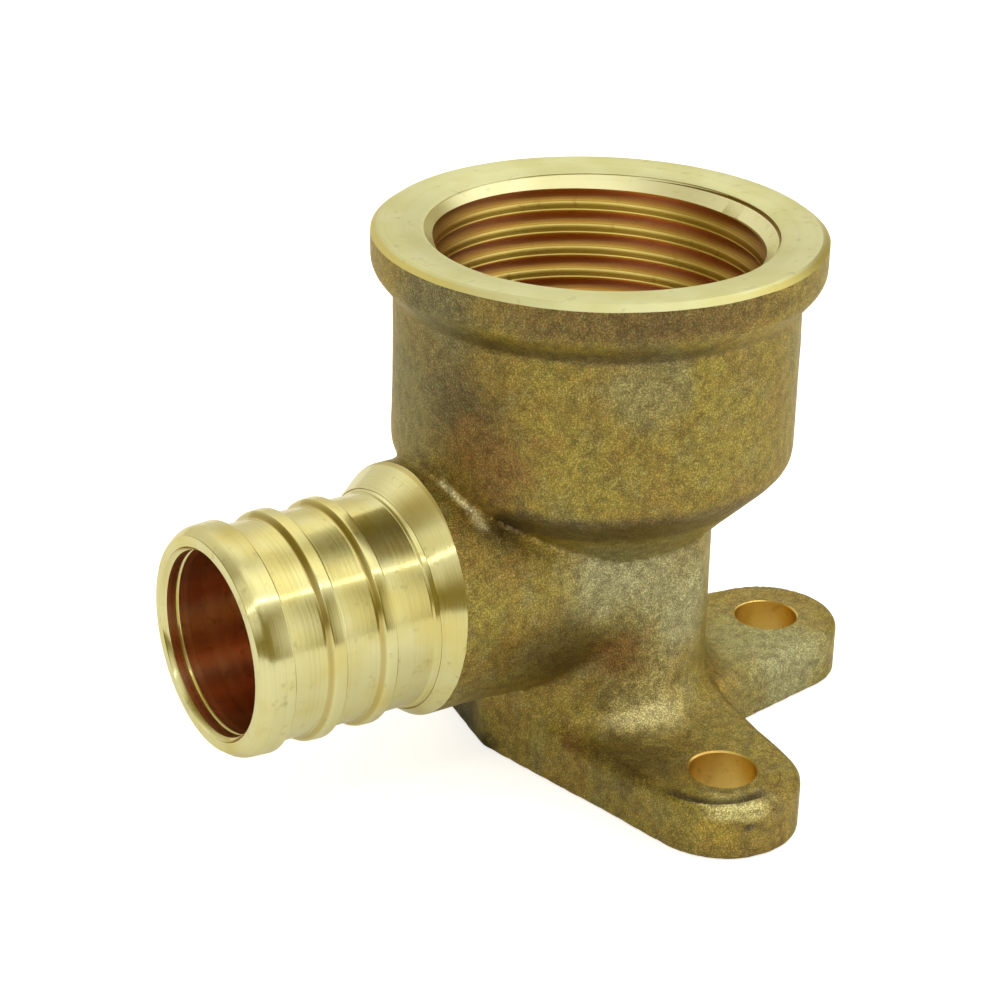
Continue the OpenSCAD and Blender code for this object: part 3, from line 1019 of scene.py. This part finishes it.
floor_mat = bpy.data.materials.new("floor")
floor_mat.use_nodes = True
floor_tree = floor_mat.node_tree
floor_bsdf = floor_tree.nodes["Principled BSDF"]
floor_bsdf.inputs["Base Color"].default_value = (0.90, 0.90, 0.90, 1)
floor_bsdf.inputs["Roughness"].default_value = 0.9
floor_bsdf.inputs["Specular IOR Level"].default_value = 0.1
floor_bsdf.inputs["Emission Color"].default_value = (1, 1, 1, 1)
ray = floor_tree.nodes.new("ShaderNodeLightPath")
lift = floor_tree.nodes.new("ShaderNodeMath")
lift.operation = "MULTIPLY"
floor_tree.links.new(ray.outputs["Is Camera Ray"], lift.inputs[0])
lift.inputs[1].default_value = CAMERA_LIFT
shine = floor_tree.nodes.new("ShaderNodeMath")
shine.operation = "MULTIPLY_ADD"
floor_tree.links.new(ray.outputs["Is Glossy Ray"], shine.inputs[0])
shine.inputs[1].default_value = GLOSSY_LIFT
floor_tree.links.new(lift.outputs[0], shine.inputs[2])
floor_tree.links.new(shine.outputs[0], floor_bsdf.inputs["Emission Strength"])
floor = mesh_object("floor", [
    (-FLOOR_REACH, -FLOOR_REACH, GROUND_Z), (FLOOR_REACH, -FLOOR_REACH, GROUND_Z),
    (FLOOR_REACH, FLOOR_REACH, GROUND_Z), (-FLOOR_REACH, FLOOR_REACH, GROUND_Z)],
    [(0, 1, 2, 3)], floor_mat)


def lamp(name, direction, distance, size, level, shift):
    """A soft area lamp that faces the object, moved sideways along X by shift. All lengths are in metres.
    level is how bright it looks, where 1 is white."""
    d = Vector(direction).normalized()
    light = bpy.data.lights.new(name, "AREA")
    light.shape = "RECTANGLE"
    light.size, light.size_y = size
    light.energy = level * math.pi * size[0] * size[1]
    ob = bpy.data.objects.new(name, light)
    target = Vector((0, 0, 0.018))
    ob.location = target + d * distance + Vector((shift, 0, 0))
    ob.rotation_euler = (-d).to_track_quat("-Z", "Y").to_euler()
    bpy.context.scene.collection.objects.link(ob)


# A long thin strip light, level with the barb
lamp("strip", direction=(0, -0.55, 0.84), distance=0.55, size=(1.3, 0.016), level=4.8, shift=-0.36)

# The studio round the object: a dim room with soft screens.
# Each screen has an azimuth, a height and a reach in degrees, and a level.
ROOM = (0.25, 0.19, 0.05)
SCREENS = [(320, 12, 34, 0.90), (345, 42, 34, 0.65), (202, 35, 30, 0.55),
           (75, 32, 55, 0.50), (270, 68, 34, 0.52), (60, 75, 60, 0.40)]
# A screen is at its full level within this share of its reach
SCREEN_CORE = 0.45

world = bpy.data.worlds.new("studio")
bpy.context.scene.world = world
world.use_nodes = True
sky = world.node_tree
coords = sky.nodes.new("ShaderNodeTexCoord")
total = None
for azimuth, height, reach, level in SCREENS:
    az, el = math.radians(azimuth), math.radians(height)
    facing = sky.nodes.new("ShaderNodeVectorMath")
    facing.operation = "DOT_PRODUCT"
    sky.links.new(coords.outputs["Generated"], facing.inputs[0])
    facing.inputs[1].default_value = (math.cos(el) * math.cos(az), math.cos(el) * math.sin(az), math.sin(el))
    screen = sky.nodes.new("ShaderNodeMapRange")
    screen.interpolation_type = "SMOOTHSTEP"
    sky.links.new(facing.outputs["Value"], screen.inputs["Value"])
    screen.inputs["From Min"].default_value = math.cos(math.radians(reach))
    screen.inputs["From Max"].default_value = math.cos(math.radians(SCREEN_CORE * reach))
    screen.inputs["To Min"].default_value = 0
    screen.inputs["To Max"].default_value = level
    add = sky.nodes.new("ShaderNodeVectorMath")
    if total is None:
        add.inputs[0].default_value = ROOM
    else:
        sky.links.new(total, add.inputs[0])
    sky.links.new(screen.outputs["Result"], add.inputs[1])
    total = add.outputs[0]
sky.links.new(total, sky.nodes["Background"].inputs["Color"])

# The photo's camera: its angles in degrees, its place along its own axes in millimetres, and its
# focal length in pixels of the photo
AZIMUTH, ELEVATION, ROLL = -33.757, 24.740, 1.529
CAMERA_BACK, CAMERA_RIGHT, CAMERA_UP = 221.40, -6.267, 16.916
FOCAL_PX = 2832.4
PHOTO_PX = 1000
SENSOR_WIDTH = 36

azimuth, elevation, roll = math.radians(AZIMUTH), math.radians(ELEVATION), math.radians(ROLL)
back = Vector((math.sin(azimuth) * math.cos(elevation), -math.cos(azimuth) * math.cos(elevation),
               math.sin(elevation)))
level_right = Vector((math.cos(azimuth), math.sin(azimuth), 0))
level_up = back.cross(level_right)
right = math.cos(roll) * level_right + math.sin(roll) * level_up
up = -math.sin(roll) * level_right + math.cos(roll) * level_up
centre = (CAMERA_BACK * back + CAMERA_RIGHT * right + CAMERA_UP * up) * MM
cam_data = bpy.data.cameras.new("camera")
cam_data.sensor_fit = "HORIZONTAL"
cam_data.sensor_width = SENSOR_WIDTH
cam_data.lens = FOCAL_PX / PHOTO_PX * SENSOR_WIDTH
cam_data.clip_start = 0.01
cam = bpy.data.objects.new("camera", cam_data)
cam.matrix_world = Matrix(((right.x, up.x, back.x, centre.x), (right.y, up.y, back.y, centre.y),
                           (right.z, up.z, back.z, centre.z), (0, 0, 0, 1)))
bpy.context.scene.collection.objects.link(cam)
bpy.context.scene.camera = cam
bpy.context.scene.view_settings.view_transform = "Standard"
